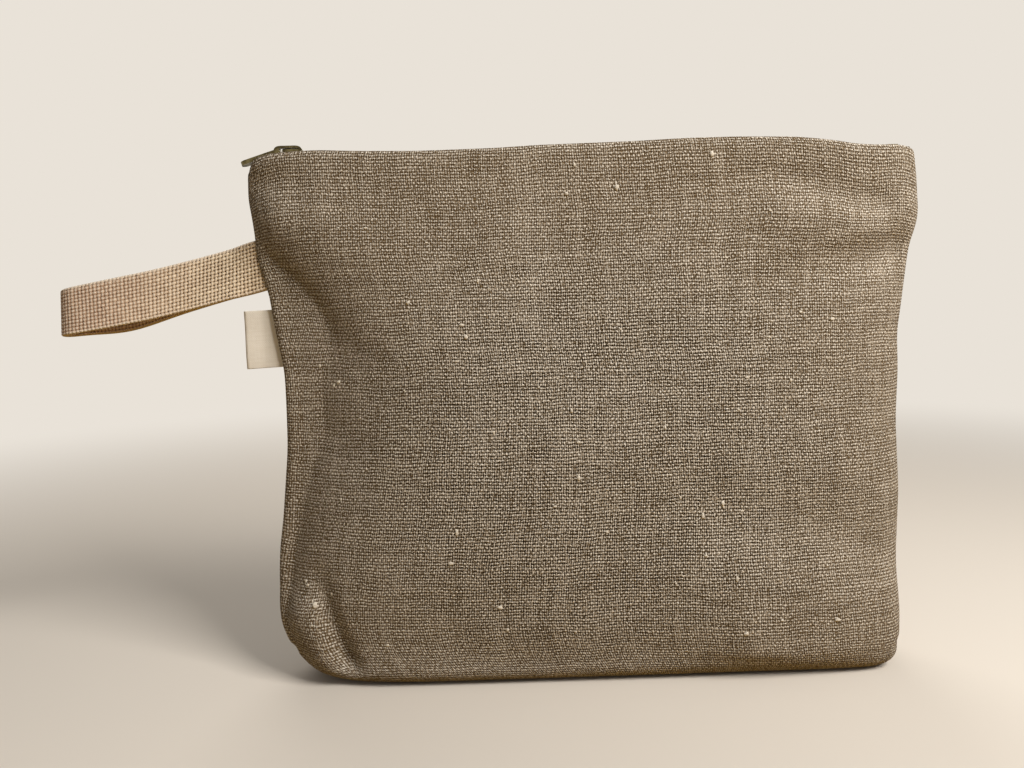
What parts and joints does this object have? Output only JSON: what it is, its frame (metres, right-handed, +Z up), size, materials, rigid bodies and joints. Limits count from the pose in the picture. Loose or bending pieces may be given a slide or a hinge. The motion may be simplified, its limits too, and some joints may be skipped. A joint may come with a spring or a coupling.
{
  "type": "zip pouch",
  "caption": "Linen zip pouch with a boxed base, a slider that runs along the top, a hinged pull, and a webbing wrist loop and bare label swinging from the left side seam.",
  "frame": {"origin": "middle of the base, on the surface that the pouch stands on", "axes": "+X to the right when the front is seen, -Y out of the front, +Z up"},
  "size_m": [0.3228, 0.047, 0.2036],
  "materials": {
    "linen": "coarse plain-weave natural linen, slubbed, matt",
    "interlining": "thin fusible interlining, matt",
    "lining": "fine plain-weave cream cotton, matt",
    "zip_tape": "twill-woven zip tape, matt",
    "brass": "antique brass, satin",
    "webbing": "coarse plain-weave cotton webbing, matt",
    "label": "plain cream cotton tape, bare, matt"
  },
  "bodies": {
    "bag": {"outer_front_panel": "linen", "outer_back_panel": "linen", "interlining_front": "interlining", "interlining_back": "interlining", "lining_front_panel": "lining", "lining_back_panel": "lining", "zip_tape_front": "zip_tape", "zip_tape_back": "zip_tape", "zip_teeth_front": "brass", "zip_teeth_back": "brass", "zip_top_stop_front": "brass", "zip_top_stop_back": "brass", "zip_bottom_stop": "brass", "wrist_strap_tail": "webbing", "side_label_tail": "label"},
    "slider": {"zip_slider_body": "brass", "zip_slider_bridge": "brass"},
    "pull": {"zip_pull_tab": "brass"},
    "strap": {"wrist_strap": "webbing"},
    "label": {"side_label": "label"}
  },
  "joints": [
    {"name": "zip_slide", "type": "slide", "parent": "bag", "child": "slider", "axis": [1, 0, 0], "range_m": [0, 0.216], "deforming": ["zip_teeth_front", "zip_teeth_back"]},
    {"name": "pull_swing", "type": "hinge", "parent": "slider", "child": "pull", "pos_m": [-0.11315, 0, 0.2015], "axis": [0, 1, 0], "range_deg": [0, 155]},
    {"name": "strap_swing", "type": "hinge", "parent": "bag", "child": "strap", "pos_m": [-0.12728, 0, 0.1595], "axis": [0, 0, 1], "range_deg": [-115, 115]},
    {"name": "label_swing", "type": "hinge", "parent": "bag", "child": "label", "pos_m": [-0.12216, 0, 0.132], "axis": [0, 0, 1], "range_deg": [-115, 115]}
  ]
}
